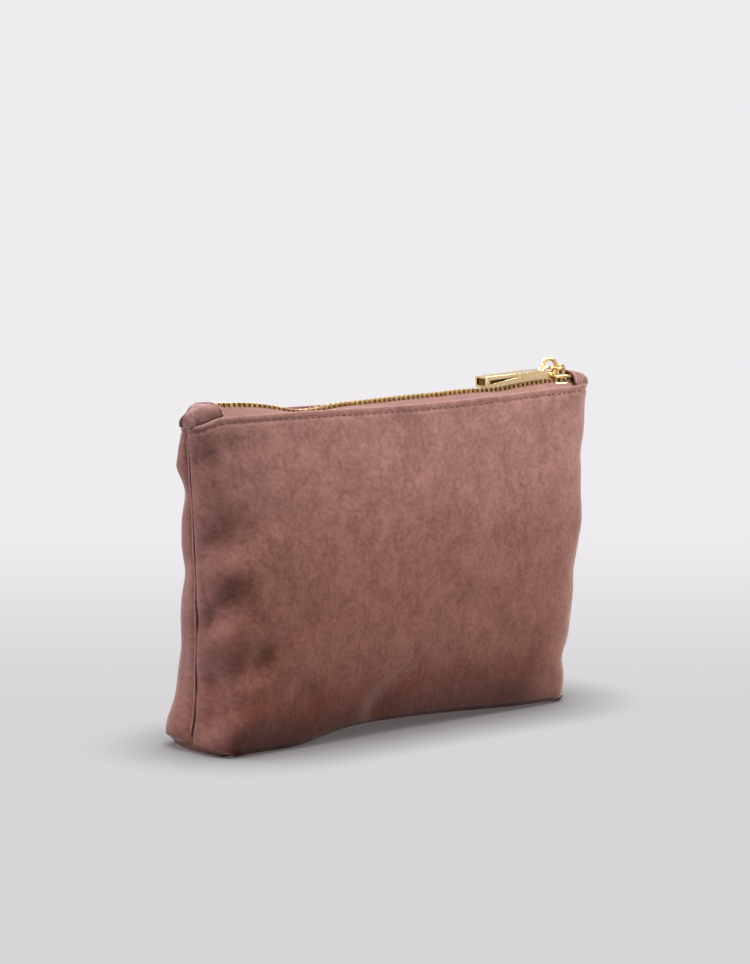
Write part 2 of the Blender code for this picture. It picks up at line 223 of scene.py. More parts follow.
def slack(x, z, side):
    """Broad shallow unevenness of a lightly filled cloth wall."""
    wide = noise.noise(Vector((x * 22 + 3.1 * side, z * 26, 4.7 * side)))
    fine = noise.noise(Vector((x * 60, z * 48 + 9.0 * side, 1.3)))
    return 0.0011 * wide + 0.00035 * fine


def seam_pinch(u):
    """The cloth dives into the seam over its last few millimetres."""
    edge = max(0.0, (abs(u) - 0.955) / 0.045)
    return 0.0011 * edge * edge


def stitch_groove(point, side):
    """The stitches pull a groove under the folded edge, deeper where the cloth is slack on the left."""
    deep = 0.00035 + 0.0004 * bump(point.x, -0.072, 0.020) * (side < 0)
    return deep * bump(point.z, LIP_Z - STITCH_DROP, 0.00065)


def wall_edge(u, side):
    """How far up the curl of the foot a wall ends: under the bag, but at the slanting seam by its ends."""
    reach = math.sqrt(max(0.0, 1 - abs(math.sin(u * math.pi / 2)) ** squareness(FOOT_RADIUS)))
    boxed = smooth((0.972 - reach) / 0.10)
    near = 0.94
    far = 0.85 if side < 0 else 0.955
    return boxed * (near + (far - near) * min(reach / 0.9, 1.0))


def hem_rows(side, inset, top):
    """The wall's top edge rolled inwards, and the hem hanging inside it."""
    rows = []
    for k in range(1, HEM_ROWS + 1):
        turn = math.pi * k / HEM_ROWS
        back, up = LIP_RADIUS * (1 - math.cos(turn)), LIP_RADIUS * math.sin(turn)
        rows.append([section(top, u, side, inset + back) + Vector((0, 0, up)) for u in ACROSS])
    inside = inset + 2 * LIP_RADIUS + 0.0002
    for k in range(1, 5):
        drop = HEM_DEPTH * k / 4
        rows.append([section(top - drop, u, side, inside) for u in ACROSS])
    return rows


def lengths(points):
    """Distance of each point from the first, measured along them all."""
    run = [0.0]
    for a, b in zip(points, points[1:]):
        run.append(run[-1] + (b - a).length)
    return run


def wall_rows(side, inset, top, hem):
    """Rows of points of one wall's outer face, from the underside up to its top, with its folded hem."""
    rows = []
    lows = [wall_edge(u, side) for u in ACROSS]
    for k in range(FOOT_ROWS):
        shares = [low + (1 - low) * k / FOOT_ROWS for low in lows]
        rows.append([foot_point(q, u, side, inset) for q, u in zip(shares, ACROSS)])
    start = FOOT_RADIUS + inset
    for k in range(WALL_ROWS + 1):
        t = k / WALL_ROWS
        z = start + (top - start) * (t + ROWS_CROWD_UP * t * (1 - t))
        rows.append([section(z, u, side, inset) for u in ACROSS])
    return rows + (hem_rows(side, inset, top) if hem else [])


def shaped(rows, side):
    """Adds the dents, the slack and the resting shape to rows of a wall, along the wall's own normals."""
    height, width = len(rows), len(rows[0])
    out = []
    from_seam = lengths(rows[FOOT_ROWS + WALL_ROWS // 2])
    dents = FRONT_DENTS + FRONT_RIGHT_DENTS if side < 0 else BACK_DENTS
    for r, row in enumerate(rows):
        new = []
        for c, point in enumerate(row):
            up = rows[min(r + 1, height - 1)][c] - rows[max(r - 1, 0)][c]
            over = row[min(c + 1, width - 1)] - row[max(c - 1, 0)]
            normal = over.cross(up) * -side
            normal = normal.normalized() if normal.length > 1e-12 else Vector((0, side, 0))
            if r > WALL_TOP:
                normal = Vector((0, side, 0))
            u = 2 * c / (width - 1) - 1
            low = min(r / FOOT_ROWS, 1.0)
            inward = dent(from_seam[c], point.z, dents) * low - slack(point.x, point.z, side) * low
            inward *= 1 - 0.85 * smooth((point.z - LIP_Z + 0.008) / 0.008)
            inward *= min(1.0, 0.25 + (1 - abs(u)) / 0.12)
            inward += seam_pinch(u)
            inward += stitch_groove(point, side) if r <= WALL_TOP else 0.0
            placed = settle(point - normal * inward)
            placed.z = max(placed.z, 0.0)
            new.append(placed)
        out.append(new)
    return out


# --- mesh helpers ---
def linked(name, data):
    made = bpy.data.objects.new(name, data)
    bpy.context.scene.collection.objects.link(made)
    return made


def meshed(name, mesh, mat):
    mesh.materials.append(mat)
    mesh.shade_smooth()
    return linked(name, mesh)


def new_object(name, verts, faces, mat, uvs=None):
    mesh = bpy.data.meshes.new(name)
    mesh.from_pydata([tuple(v) for v in verts], [], faces)
    if uvs is not None:
        layer = mesh.uv_layers.new(name="cloth")
        for loop in mesh.loops:
            layer.data[loop.index].uv = uvs[loop.vertex_index]
    return meshed(name, mesh, mat)


def bmesh_object(name, bm, mat):
    bmesh.ops.recalc_face_normals(bm, faces=bm.faces)
    mesh = bpy.data.meshes.new(name)
    bm.to_mesh(mesh)
    bm.free()
    return meshed(name, mesh, mat)


def thicken(made, thick):
    shell = made.modifiers.new("thickness", "SOLIDIFY")
    shell.thickness = thick
    shell.offset = -1.0


def grid_object(name, rows, mat, thick=0.0, flip=False):
    """A sheet through rows of points, with UVs in metres along and across the cloth."""
    width = len(rows[0])
    verts = [p for row in rows for p in row]
    faces = []
    for r in range(len(rows) - 1):
        for c in range(width - 1):
            a = r * width + c
            quad = (a, a + 1, a + 1 + width, a + width)
            faces.append(quad[::-1] if flip else quad)
    along = lengths(rows[len(rows) // 2])
    half = along[width // 2]
    up = lengths([row[width // 2] for row in rows])
    uvs = [(along[c] - half, up[r]) for r in range(len(rows)) for c in range(width)]
    made = new_object(name, verts, faces, mat, uvs)
    if thick:
        thicken(made, thick)
    return made


def baked(made):
    """Replaces an object's mesh by its evaluated one, so no modifier is left."""
    graph = bpy.context.evaluated_depsgraph_get()
    mesh = bpy.data.meshes.new_from_object(made.evaluated_get(graph))
    made.modifiers.clear()
    made.data = mesh
    return made


def bend_with(piece, body, sign, slot, *nodes):
    """Bakes a piece's placement into its mesh and hides the frame parts it stands in for.

    Its body, slot and sign (-1 for the left half) are not used.
    """
    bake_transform(piece)
    if nodes:
        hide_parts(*nodes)


def halves(made, name, body, slot, *nodes):
    """Splits a wall piece at its middle column into a left and a right half that keep the whole piece's
    smooth shading, and hides the frame parts they stand in for.
    """
    mesh = baked(made).data
    mesh.set_sharp_from_angle(angle=math.radians(50))
    uv = mesh.uv_layers[0].data
    normals = [Vector(n.vector) for n in mesh.corner_normals]
    for label, sign in ENDS:
        index, verts, faces, uvs, kept = {}, [], [], [], []
        for poly in mesh.polygons:
            if sum(uv[i].uv[0] for i in poly.loop_indices) * sign <= 0:
                continue
            face = []
            for i in poly.loop_indices:
                v = mesh.loops[i].vertex_index
                if v not in index:
                    index[v] = len(verts)
                    verts.append(mesh.vertices[v].co.copy())
                face.append(index[v])
                uvs.append(tuple(uv[i].uv))
                kept.append(normals[i])
            faces.append(face)
        piece = new_object(f"{name}_{label}", verts, faces, mesh.materials[0])
        layer = piece.data.uv_layers.new(name="cloth")
        for i, value in enumerate(uvs):
            layer.data[i].uv = value
        piece.data.normals_split_custom_set(kept)
        bend_with(piece, body, sign, slot, *nodes)
    bpy.data.objects.remove(made, do_unlink=True)


def tube_faces(rings, sides):
    """Quads between each ring of points and the next."""
    faces = []
    for i in range(rings - 1):
        for j in range(sides):
            k = (j + 1) % sides
            faces.append((i * sides + j, i * sides + k, (i + 1) * sides + k, (i + 1) * sides + j))
    return faces


def swept(path, ring):
    """Vertices and faces of a closed ring of (side, up) offsets carried along a path of points."""
    verts = []
    count = len(ring)
    for i, point in enumerate(path):
        ahead = path[min(i + 1, len(path) - 1)] - path[max(i - 1, 0)]
        ahead.normalize()
        side = ahead.cross(Vector((0, 0, 1)))
        side = side.normalized() if side.length > 1e-6 else Vector((0, 1, 0))
        up = side.cross(ahead)
        verts += [point + side * a + up * b for a, b in ring]
    faces = tube_faces(len(path), count)
    faces.append(tuple(range(count))[::-1])
    faces.append(tuple((len(path) - 1) * count + j for j in range(count)))
    return verts, faces


def cord_object(name, path, radius, mat, sides=10):
    turns = [2 * math.pi * j / sides for j in range(sides)]
    verts, faces = swept(path, [(radius * math.cos(turn), radius * math.sin(turn)) for turn in turns])
    return new_object(name, verts, faces, mat)


# --- materials ---
class Shader:
    """A small builder for node materials."""

    def __init__(self, name):
        self.mat = bpy.data.materials.new(name)
        self.mat.use_nodes = True
        self.tree = self.mat.node_tree
        self.main = self.tree.nodes["Principled BSDF"]

    def node(self, kind, **values):
        made = self.tree.nodes.new(kind)
        for key, value in values.items():
            socket = key.replace("_", " ")
            if socket in made.inputs:
                made.inputs[socket].default_value = value
            else:
                setattr(made, key, value)
        return made

    def link(self, source, target):
        self.tree.links.new(source, target)

    def set(self, **values):
        for key, value in values.items():
            self.main.inputs[key.replace("_", " ")].default_value = value

    def scaled(self, coords, scale):
        mapping = self.node("ShaderNodeMapping", Scale=scale)
        self.link(coords, mapping.inputs["Vector"])
        return mapping.outputs["Vector"]

    def noise(self, coords, scale, detail=2.0, rough=0.5, distortion=0.0):
        look = dict(Scale=scale, Detail=detail, Roughness=rough, Distortion=distortion)
        made = self.node("ShaderNodeTexNoise", **look)
        self.link(coords, made.inputs["Vector"])
        return made.outputs["Fac"]

    def ramp(self, source, *stops):
        made = self.node("ShaderNodeValToRGB")
        elements = made.color_ramp.elements
        while len(elements) < len(stops):
            elements.new(0.5)
        for element, (position, colour) in zip(elements, stops):
            element.position = position
            element.color = (*colour, 1.0)
        self.link(source, made.inputs["Fac"])
        return made.outputs["Color"]

    def feed(self, source, socket):
        """Sets a socket to a number or a colour, or links it to another node's output."""
        if isinstance(source, (int, float)):
            socket.default_value = source
        elif isinstance(source, tuple):
            socket.default_value = (*source, 1.0)
        elif source is not None:
            self.link(source, socket)

    def mix(self, factor, a, b, blend="MIX"):
        made = self.node("ShaderNodeMix", data_type="RGBA", blend_type=blend)
        for source, socket in ((factor, made.inputs[0]), (a, made.inputs[6]), (b, made.inputs[7])):
            self.feed(source, socket)
        return made.outputs[2]

    def math(self, operation, a, b=None):
        made = self.node("ShaderNodeMath", operation=operation)
        self.feed(a, made.inputs[0])
        self.feed(b, made.inputs[1])
        return made.outputs[0]

    def total(self, *terms):
        """The sum of (source, weight) terms."""
        whole = None
        for source, weight in terms:
            part = self.math("MULTIPLY", source, weight)
            whole = part if whole is None else self.math("ADD", whole, part)
        return whole

    def ease(self, value, start, end):
        """A smooth step from 0 at start to 1 at end."""
        kind = "SMOOTHSTEP"
        step = self.node("ShaderNodeMapRange", interpolation_type=kind, From_Min=start, From_Max=end)
        self.link(value, step.inputs["Value"])
        return step.outputs["Result"]

    def openness(self, samples, distance, power):
        """Near 0 in a narrow place and 1 in the open."""
        around = self.node("ShaderNodeAmbientOcclusion", samples=samples, Distance=distance)
        return self.math("POWER", around.outputs["AO"], power)

    def bump(self, height, distance, strength=1.0):
        made = self.node("ShaderNodeBump", Strength=strength, Distance=distance)
        self.link(height, made.inputs["Height"])
        self.link(made.outputs["Normal"], self.main.inputs["Normal"])


# Painted light and shade up the suede, as shares of the span below: warm, deep painted shade low down where
# the cloth curls under, paler painted light and sheen near the mouth.
HEIGHT_PAINTED_LIGHT_SPAN = 0.16
HEIGHT_PAINTED_LIGHT = (
    (0.05, (0.20, 0.110, 0.090)),
    (0.095, (0.26, 0.155, 0.125)),
    (0.145, (0.43, 0.29, 0.245)),
    (0.205, (0.66, 0.56, 0.505)),
    (0.26, (0.73, 0.65, 0.60)),
    (0.37, (0.705, 0.64, 0.60)),
    (0.473, (0.735, 0.70, 0.675)),
    (0.58, (0.82, 0.83, 0.83)),
    (0.735, (0.88, 0.95, 1.00)),
    (0.83, (0.87, 0.96, 1.02)),
    (0.865, (0.66, 0.72, 0.77)),
)
# Painted sheen where the walls turn to the side seams.
SEAM_PAINTED_SHEEN = (0.90, 0.88, 0.88)
# Painted light on the low corners of the walls.
CORNER_PAINTED_LIGHT = (0.86, 0.78, 0.74)
# Painted shade over the left of the walls.
LEFT_PAINTED_SHADE = (0.97, 0.955, 0.95)
# Painted shade in the narrow creases and grooves of the suede.
CREASE_PAINTED_SHADE = (0.36, 0.27, 0.24)


def paint_light_and_shade(s, where, colour):
    """Paints light and shade into the suede: by height, then a painted sheen at the side seams, painted
    light on the low corners and painted shade on the left.
    """
    parts = s.node("ShaderNodeSeparateXYZ")
    s.link(where, parts.inputs[0])
    along, up = parts.outputs["X"], parts.outputs["Y"]
    # Painted light and shade by height, up the cloth.
    worn_and_painted_light = s.ramp(s.math("DIVIDE", up, HEIGHT_PAINTED_LIGHT_SPAN), *HEIGHT_PAINTED_LIGHT)
    # Painted sheen towards the side seams.
    seams = s.ease(s.math("ABSOLUTE", along), 0.084, 0.106)
    worn_and_painted_light = s.mix(seams, worn_and_painted_light, s.mix(0.72, worn_and_painted_light, SEAM_PAINTED_SHEEN))
    # Painted light on the low corners, reaching further on the right.
    corners = s.ease(s.math("ABSOLUTE", s.math("ADD", along, 0.008)), 0.070, 0.092)
    foot = s.ease(up, 0.044, 0.030)
    lit_corners = s.math("MULTIPLY", s.math("MULTIPLY", corners, foot), 0.76)
    worn_and_painted_light = s.mix(lit_corners, worn_and_painted_light, CORNER_PAINTED_LIGHT)
    colour = s.mix(1.0, colour, worn_and_painted_light, "MULTIPLY")
    # Painted shade, fading out from left to right.
    shaded_left = s.mix(1.0, colour, LEFT_PAINTED_SHADE, "MULTIPLY")
    return s.mix(s.ease(along, -0.075, 0.060), shaded_left, colour)


def suede(name, dark, light, coordinates="UV"):
    """Brushed suede: a cloudy nap, fine grain and a soft sheen, with painted shade in its narrow creases.
    With UVs it also gets painted light and shade over the bag.
    """
    s = Shader(name)
    where = s.node("ShaderNodeTexCoord").outputs[coordinates]
    cloud = s.noise(where, 46, 5.0, 0.6, 0.8)
    nap = s.noise(s.scaled(where, (1.0, 0.8, 1.0)), 190, 4.0, 0.6, 0.6)
    fibre = s.noise(where, 2100, 2.0, 0.6)
    grain = s.noise(where, 540, 3.0, 0.6)
    tone = s.total((cloud, 0.38), (nap, 0.42), (grain, 0.40), (fibre, 0.20))
    colour = s.ramp(tone, (0.59, dark), (0.81, light))
    if coordinates == "UV":
        colour = paint_light_and_shade(s, where, colour)
    # Painted shade where nearby surfaces hem the cloth in.
    deep = s.mix(1.0, colour, CREASE_PAINTED_SHADE, "MULTIPLY")
    colour = s.mix(s.openness(6, 0.010, 1.5), deep, colour)
    s.link(colour, s.main.inputs["Base Color"])
    s.set(Roughness=0.92, Specular_IOR_Level=0.06)
    s.set(Sheen_Weight=0.58, Sheen_Roughness=0.42, Sheen_Tint=(1.0, 0.80, 0.76, 1.0))
    s.bump(s.total((fibre, 0.3), (nap, 1.0), (grain, 0.8)), 0.00035, 0.5)
    return s.mat


# A wave texture's scale is this over the distance from one band to the next.
WAVE_SCALE = 0.314


def woven(name, dark, light, pitch, coordinates="UV"):
    """Plain woven cloth: two crossed sets of threads."""
    s = Shader(name)
    where = s.node("ShaderNodeTexCoord").outputs[coordinates]
    threads = []
    for direction in ("X", "Y"):
        look = dict(Scale=WAVE_SCALE / pitch, Distortion=0.4, Detail=1.0)
        wave = s.node("ShaderNodeTexWave", wave_type="BANDS", bands_direction=direction, **look)
        s.link(where, wave.inputs["Vector"])
        threads.append(wave.outputs["Fac"])
    weave = s.math("MULTIPLY", threads[0], threads[1])
    cloud = s.noise(where, 70, 3.0, 0.6)
    tone = s.total((weave, 0.6), (cloud, 0.5))
    s.link(s.ramp(tone, (0.2, dark), (0.75, light)), s.main.inputs["Base Color"])
    s.set(Roughness=0.85, Specular_IOR_Level=0.2, Sheen_Weight=0.15)
    s.bump(weave, 0.00012, 0.7)
    return s.mat


def metal(name, base, worn_and_painted_light, roughness, grain):
    """Plated metal: faint cloudy tarnish, with roughness that varies and a fine polish grain."""
    s = Shader(name)
    where = s.node("ShaderNodeTexCoord").outputs["Object"]
    cloud = s.noise(where, 420, 4.0, 0.6)
    s.link(s.ramp(cloud, (0.35, worn_and_painted_light), (0.62, base)), s.main.inputs["Base Color"])
    spread = s.node("ShaderNodeMapRange", To_Min=roughness * 0.7, To_Max=roughness * 1.5)
    s.link(cloud, spread.inputs["Value"])
    s.link(spread.outputs["Result"], s.main.inputs["Roughness"])
    s.set(Metallic=1.0)
    fine = s.noise(s.scaled(where, (0.25, 1.0, 1.0)), 5200, 2.0, 0.5)
    s.bump(fine, grain, 0.5)
    return s.mat


mats = {
    "suede": suede("suede_rose", (0.166, 0.074, 0.058), (0.272, 0.130, 0.106)),
    "trim": suede("suede_trim", (0.185, 0.085, 0.070), (0.290, 0.145, 0.125), "Object"),
    "tab": suede("suede_tab", (0.128, 0.062, 0.055), (0.215, 0.112, 0.102), "Object"),
    # Dark suede for the corner welts: painted shade in the groove under the walls.
    "painted_groove_shade": suede("suede_painted_groove_shade", (0.075, 0.030, 0.022), (0.130, 0.055, 0.042), "Object"),
    # Lighter suede for rolled rims: partly worn, partly a painted sheen highlight.
    "edge": suede("suede_worn_and_sheen_edge", (0.230, 0.120, 0.100), (0.340, 0.190, 0.165), "Object"),
    "lining": woven("lining_weave", (0.20, 0.115, 0.10), (0.36, 0.23, 0.205), 0.00045),
    "tape": woven("tape_weave", (0.150, 0.072, 0.062), (0.250, 0.132, 0.115), 0.0006),
    "cord": woven("zip_cord_weave", (0.150, 0.072, 0.062), (0.250, 0.132, 0.115), 0.0005, "Object"),
    "thread": woven("thread_ply", (0.13, 0.052, 0.042), (0.25, 0.12, 0.10), 0.0003, "Object"),
    "brass": metal("antique_brass", (0.70, 0.51, 0.22), (0.44, 0.29, 0.10), 0.28, 0.00002),
    "gold": metal("pale_gold", (0.90, 0.68, 0.39), (0.80, 0.57, 0.29), 0.17, 0.000012),
    "ring": metal("deep_gold", (0.64, 0.47, 0.23), (0.50, 0.34, 0.14), 0.22, 0.000012),
    # Near-black gold for the insides of the slots and the hollow end: painted shade.
    "recess_painted_shade": metal("gold_painted_shade", (0.115, 0.068, 0.020), (0.070, 0.040, 0.012), 0.5, 0.00002),
}


# --- sewn walls ---
walls = {}
for wall_name, side in WALLS:
    rows = shaped(wall_rows(side, 0.0, LIP_Z, hem=True), side)
    walls[wall_name] = rows
    panel = grid_object(f"{wall_name}_suede", rows, mats["suede"], SUEDE_THICK, flip=side > 0)
    halves(panel, f"{wall_name}_suede", wall_name, "suede", f"{wall_name}_panel")
    inner = shaped(wall_rows(side, LINING_INSET, LINING_TOP, hem=False), side)
    cloth = grid_object(f"{wall_name}_lining", inner, mats["lining"], LINING_THICK, flip=side > 0)
    halves(cloth, f"{wall_name}_lining", wall_name, "lining", f"lining_{wall_name}")


TRAY_CURL_ROWS = 14
TRAY_FLAT_ROWS = 5
TRAY_LIFT = 0.0002
TRAY_SEAM_RISE = 0.0006
LINING_LIFT = 0.0022


def all_round(point_at):
    """A ring of points: along the front from left to right, then back along the other wall."""
    return [point_at(u, -1) for u in ACROSS] + [point_at(u, 1) for u in ACROSS[-2:0:-1]]


def tray_rings(inset, end_inset, rim):
    """Rings of the bottom cloth, from its rim round the boxed edge to the seam along its middle."""

    def tuck(u):
        """The bottom stands out to the boxed ends but tucks in behind the front and back walls."""
        return inset + (end_inset - inset) * smooth((abs(math.sin(u * math.pi / 2)) - 0.945) / 0.035)

    rings = []
    for k in range(TRAY_CURL_ROWS + 1):
        q = 1 - k / TRAY_CURL_ROWS
        ring = all_round(lambda u, side: foot_point(q, u, side, tuck(u)))
        for point in ring:
            point.z = max(point.z - inset * 0.9, 0.0) + TRAY_LIFT
        rings.append(ring)
    if rim > 0:
        rings.insert(0, [p + Vector((0, 0, rim)) for p in rings[0]])
    start = inset + FOOT_RADIUS + FOOT_RUN
    last = half_depth(FOOT_RADIUS) - 0.0004
    for k in range(1, TRAY_FLAT_ROWS + 1):
        back_in = start + (last - start) * k / TRAY_FLAT_ROWS
        ring = all_round(lambda u, side: section(FOOT_RADIUS, u, side, back_in))
        for point in ring:
            rise = TRAY_SEAM_RISE * k / TRAY_FLAT_ROWS
            point.z = TRAY_LIFT + rise + (LINING_LIFT if rim == 0 else 0.0)
        rings.append(ring)
    return [[settle(p) for p in ring] for ring in rings]


def tray_object(name, rings, mat, thick):
    count = len(rings[0])
    verts = [p for ring in rings for p in ring]
    faces = []
    for r in range(len(rings) - 1):
        for c in range(count):
            d = (c + 1) % count
            faces.append((r * count + c, (r + 1) * count + c, (r + 1) * count + d, r * count + d))
    last = (len(rings) - 1) * count
    for c in range(COLUMNS):
        a, b = last + c, last + c + 1
        far = [last + (count - c) % count, last + count - c - 1]
        faces.append([a, far[0], far[1], b] if far[0] != a else [a, far[1], b])
    faces = [f for f in faces if len(set(f)) == len(f)]
    uvs = [(p.x, p.y + p.z) for p in verts]
    made = new_object(name, verts, faces, mat, uvs)
    thicken(made, thick)
    return baked(made)


bottom_rings = tray_rings(inset=0.0022, end_inset=0.0007, rim=0.0012)
bottom = tray_object("base_suede", bottom_rings, mats["suede"], SUEDE_THICK)
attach(bottom, "base")
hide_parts("base_panel")
lining_rings = tray_rings(inset=0.0040, end_inset=0.0030, rim=0.0)
bottom_lining = tray_object("base_lining", lining_rings, mats["lining"], LINING_THICK)
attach(bottom_lining, "base")
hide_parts("lining_base")


# --- seams ---
SIDE_WELT = 0.00055
CORNER_WELT = 0.0005


def seam_path(end):
    """Where the two walls meet, from the boxed corner up to the mouth, a little proud of the cloth."""
    column = 0 if end < 0 else -1
    points = []
    above_foot = slice(FOOT_ROWS + 1, WALL_TOP + 1)
    for front, back in zip(walls["front"][above_foot], walls["back"][above_foot]):
        point = (front[column] + back[column]) / 2
        points.append(point + Vector((end * 0.0003, 0.00025 * math.sin(point.z * 260), 0)))
    return points


def corner_path(end):
    """The lower edge of the two walls across one boxed end."""
    columns = [c for c in range(COLUMNS + 1) if wall_edge(2 * c / COLUMNS - 1, -1) > 0.5]
    columns = [c for c in columns if (2 * c - COLUMNS) * end > 0]
    columns.sort(key=lambda c: abs(2 * c - COLUMNS))
    path = [walls["front"][0][c] for c in columns]
    path += [walls["back"][0][c] for c in columns[-2::-1]]
    return [Vector((p.x - end * 0.0002, p.y, max(p.z, CORNER_WELT))) for p in path]


for label, end in ENDS:
    seam = cord_object(f"side_welt_{label}", seam_path(end), SIDE_WELT, mats["trim"])
    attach(seam, "base")
    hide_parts(f"side_seam_{label}")
    # The corner welt is dark with painted shade from the wall's edge above it.
    corner = cord_object(f"corner_welt_{label}", corner_path(end), CORNER_WELT, mats["painted_groove_shade"])
    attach(corner, "base")
    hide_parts(f"corner_seam_{label}")


# --- zip ---
TAPE_THICK = 0.0005
TOOTH_PITCH = 0.0024
TOOTH_REACH = 0.0030
TOOTH_HEAD = 0.0005
TOOTH_LENGTH = 0.00100
TOOTH_HALF_HEIGHT = 0.00098
TAPE_HALF = 0.0955
TAPE_STATIONS = 120
TAPE_ROWS = 11
TUCKED_ROWS = 3
TAPE_TUCK = 0.0065
ZIP_CORD = 0.00062
STITCH_PITCH = 0.0030
STITCH_LENGTH = 0.0022
STITCH_RADIUS = 0.00022
STITCHES_END = 0.0935
STITCH_COUNT = 32
TEETH_FROM, TEETH_TO = ROW_LOW[0] - 0.0048, ROW_HIGH[0]
PART_OFFSET = 0.0016


def zip_line(x):
    """Height of the chain's middle: high at the left, down behind the lip, then up to the slider."""
    rise = 0.0026 * (1 - smooth((x + 0.092) / 0.040))
    slump = 0.0016 * smooth((x + 0.075) / 0.030) * (1 - smooth((x - 0.050) / 0.026))
    slump -= 0.0006 * bump(x, 0.037, 0.012)
    wave = 0.0002 * math.sin(x * 95 + 0.6) * (1 - smooth((x - 0.050) / 0.020))
    tucked = 0.0034 * smooth((-x - 0.0885) / 0.0040)
    return ZIP_Z + rise - slump - 0.0019 * bump(x, -0.044, 0.012) + wave - tucked


def zip_side(x):
    """The chain's y: it strays a little from the middle of the mouth."""
    stray = 0.0012 * bump(x, -0.045, 0.014) - 0.0005 * bump(x, 0.000, 0.020)
    return MOUTH_Y + stray * (1 - smooth((x - 0.050) / 0.020))


def parting(x):
    return PART_OFFSET * smooth((x - (SLIDER_X - 0.0040)) / 0.0070)


def stretch_at(row, x):
    """Index of the stretch of a row that holds x, or None past its ends."""
    return next((i for i in range(len(row) - 1) if row[i].x <= x <= row[i + 1].x), None)


def lip_inner(x, side):
    """The inside of the folded mouth edge at x, on its resting shape."""
    row = walls["front" if side < 0 else "back"][WALL_TOP + HEM_ROWS]
    k = stretch_at(row, x)
    if k is None:
        return row[0] if x < 0 else row[-1]
    t = (x - row[k].x) / max(row[k + 1].x - row[k].x, 1e-9)
    return row[k].lerp(row[k + 1], t)


def tape_rows(side):
    """Rows of one tape: hanging inside the hem, then bowing over from the lip to the chain."""
    rows = []
    stations = [-TAPE_HALF + 2 * TAPE_HALF * i / TAPE_STATIONS for i in range(TAPE_STATIONS + 1)]
    for k in range(TAPE_ROWS + 1):
        row = []
        for x in stations:
            lip = lip_inner(x, side)
            edge = Vector((x, zip_side(x) + side * (parting(x) + 0.0012), zip_line(x)))
            near = Vector((x, lip.y - side * 0.0004, lip.z + 0.0001))
            if k <= TUCKED_ROWS:
                row.append(Vector((x, near.y, near.z - TAPE_TUCK * (1 - k / TUCKED_ROWS))))
                continue
            t = (k - TUCKED_ROWS) / (TAPE_ROWS - TUCKED_ROWS)
            point = near.lerp(edge, t)
            point.z = near.z + (edge.z - near.z) * math.sin(t * math.pi / 2) ** 1.15
            row.append(point)
        rows.append(row)
    return rows


def tooth(bm, x, side):
    """One tooth: a rounded jaw clamped on the cord, with a narrower head that meshes with the other row."""
    y_mid, z_mid = zip_side(x) + side * parting(x), zip_line(x)
    made = bmesh.ops.create_cube(bm, size=1.0)["verts"]
    edges = list({e for v in made for e in v.link_edges})
    for v in made:
        inner = v.co.y < 0
        reach = -TOOTH_HEAD if inner else TOOTH_REACH - 0.0002
        squeeze = 0.72 if inner else 1.0
        tall = v.co.z * 2 * TOOTH_HALF_HEIGHT * squeeze
        v.co = Vector((x + v.co.x * TOOTH_LENGTH, y_mid + side * reach, z_mid + tall))
    bmesh.ops.bevel(bm, geom=edges, offset=0.00022, segments=2, affect="EDGES")


def teeth_object(name, side, sign):
    bm = bmesh.new()
    start = TEETH_FROM + (TOOTH_PITCH / 2 if side > 0 else 0.0) + 0.0005
    count = int((TEETH_TO - start) / TOOTH_PITCH) + 1
    for i in range(count):
        x = start + i * TOOTH_PITCH
        if x * sign > 0:
            tooth(bm, x, side)
    made = bmesh_object(name, bm, mats["brass"])
    made.data.set_sharp_from_angle(angle=math.radians(42))
    return made


def wall_frame(rows, row_index, x):
    """The point on a wall's row at x, with the directions along the row and up the cloth."""
    row, above = rows[row_index], rows[row_index + 1]
    k = stretch_at(row, x)
    if k is None:
        return None
    t = (x - row[k].x) / (row[k + 1].x - row[k].x)
    along = (row[k + 1] - row[k]).normalized()
    up = (above[k] - row[k]).normalized()
    return row[k].lerp(row[k + 1], t), along, up


def stitch_mesh(bm, middle, along, out, length, radius):
    """A short plump stitch that sinks into the cloth at both ends."""
    rings = []
    for k in range(7):
        t = k / 6 * 2 - 1
        swell = math.sqrt(max(0.0, 1 - t * t)) * 0.85 + 0.15
        centre_at = middle + along * (t * length / 2) + out * (radius * 0.9 * (1 - t * t) - radius * 0.3)
        side = along.cross(out).normalized()
        ring = []
        for j in range(6):
            a = 2 * math.pi * j / 6
            ring.append(bm.verts.new(centre_at + (side * math.cos(a) + out * math.sin(a)) * radius * swell))
        rings.append(ring)
    for low, high in zip(rings, rings[1:]):
        for j in range(6):
            k = (j + 1) % 6
            bm.faces.new((low[j], low[k], high[k], high[j]))
    bm.faces.new(rings[0][::-1])
    bm.faces.new(rings[-1])


def stitch_row(rows):
    """Index of the row of a wall that lies nearest to the stitches' height."""
    middle = len(rows[0]) // 2
    heights = [row[middle].z for row in rows[: WALL_TOP + 1]]
    target = heights[-1] - STITCH_DROP
    return min(range(FOOT_ROWS, WALL_TOP), key=lambda r: abs(heights[r] - target))


def stitches(name, wall_name, sign):
    rows = walls[wall_name]
    side = -1 if wall_name == "front" else 1
    row_index = stitch_row(rows)
    bm = bmesh.new()
    for i in range(STITCH_COUNT):
        x = sign * (STITCH_PITCH / 2 + STITCH_PITCH * i)
        found = wall_frame(rows, row_index, x)
        if found is None or abs(x) > STITCHES_END:
            continue
        point, along, up = found
        out = along.cross(up).normalized() * (1 if side < 0 else -1)
        slant = (along + up * 0.12).normalized()
        stitch_mesh(bm, point, slant, out, STITCH_LENGTH, STITCH_RADIUS)
    return bmesh_object(name, bm, mats["thread"])


